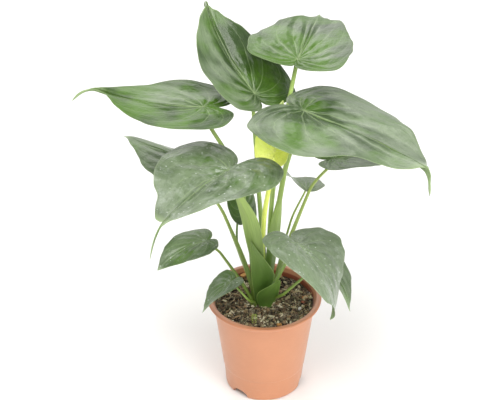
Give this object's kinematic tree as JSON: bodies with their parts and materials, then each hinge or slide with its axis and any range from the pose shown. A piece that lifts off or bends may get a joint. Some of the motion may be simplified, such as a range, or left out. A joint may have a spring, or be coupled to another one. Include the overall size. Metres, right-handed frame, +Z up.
{
  "type": "potted alocasia cucullata",
  "caption": "Living aroid with heart-shaped leaves on long stalks, growing from soil in a tapered round plastic nursery pot.",
  "frame": {"origin": "on the pot's axis, in the plane that the pot stands on", "axes": "+Z up along the pot's axis, -Y towards the viewer of the picture, +X to their right"},
  "size_m": [0.4851, 0.4772, 0.5479],
  "materials": {
    "pot_plastic": "satin terracotta-coloured plastic",
    "peat": "damp peat with bark chips",
    "crown": "fibrous short stem",
    "leaf": "satin mid-green leaf",
    "leaf_new": "bright yellow-green young leaf",
    "stalk": "smooth green stalk",
    "stalk_new": "smooth pale yellow-green stalk"
  },
  "bodies": {
    "root": {"pot": "pot_plastic", "soil": "peat", "crown": "crown", "blade_top_left": "leaf", "blade_top_right": "leaf", "blade_left": "leaf", "blade_left_behind": "leaf", "blade_front_left": "leaf", "blade_right": "leaf", "blade_right_behind": "leaf", "blade_small_right": "leaf", "blade_small_behind": "leaf", "blade_new": "leaf_new", "blade_low_left": "leaf", "blade_small_low_left": "leaf", "blade_low_right": "leaf", "blade_low_right_behind": "leaf", "stalk_top_left": "stalk", "stalk_top_right": "stalk", "stalk_left": "stalk", "stalk_left_behind": "stalk", "stalk_front_left": "stalk", "stalk_right": "stalk", "stalk_right_behind": "stalk", "stalk_small_right": "stalk", "stalk_small_behind": "stalk", "stalk_new": "stalk_new", "stalk_low_left": "stalk", "stalk_small_low_left": "stalk", "stalk_low_right": "stalk", "stalk_low_right_behind": "stalk"}
  },
  "joints": []
}
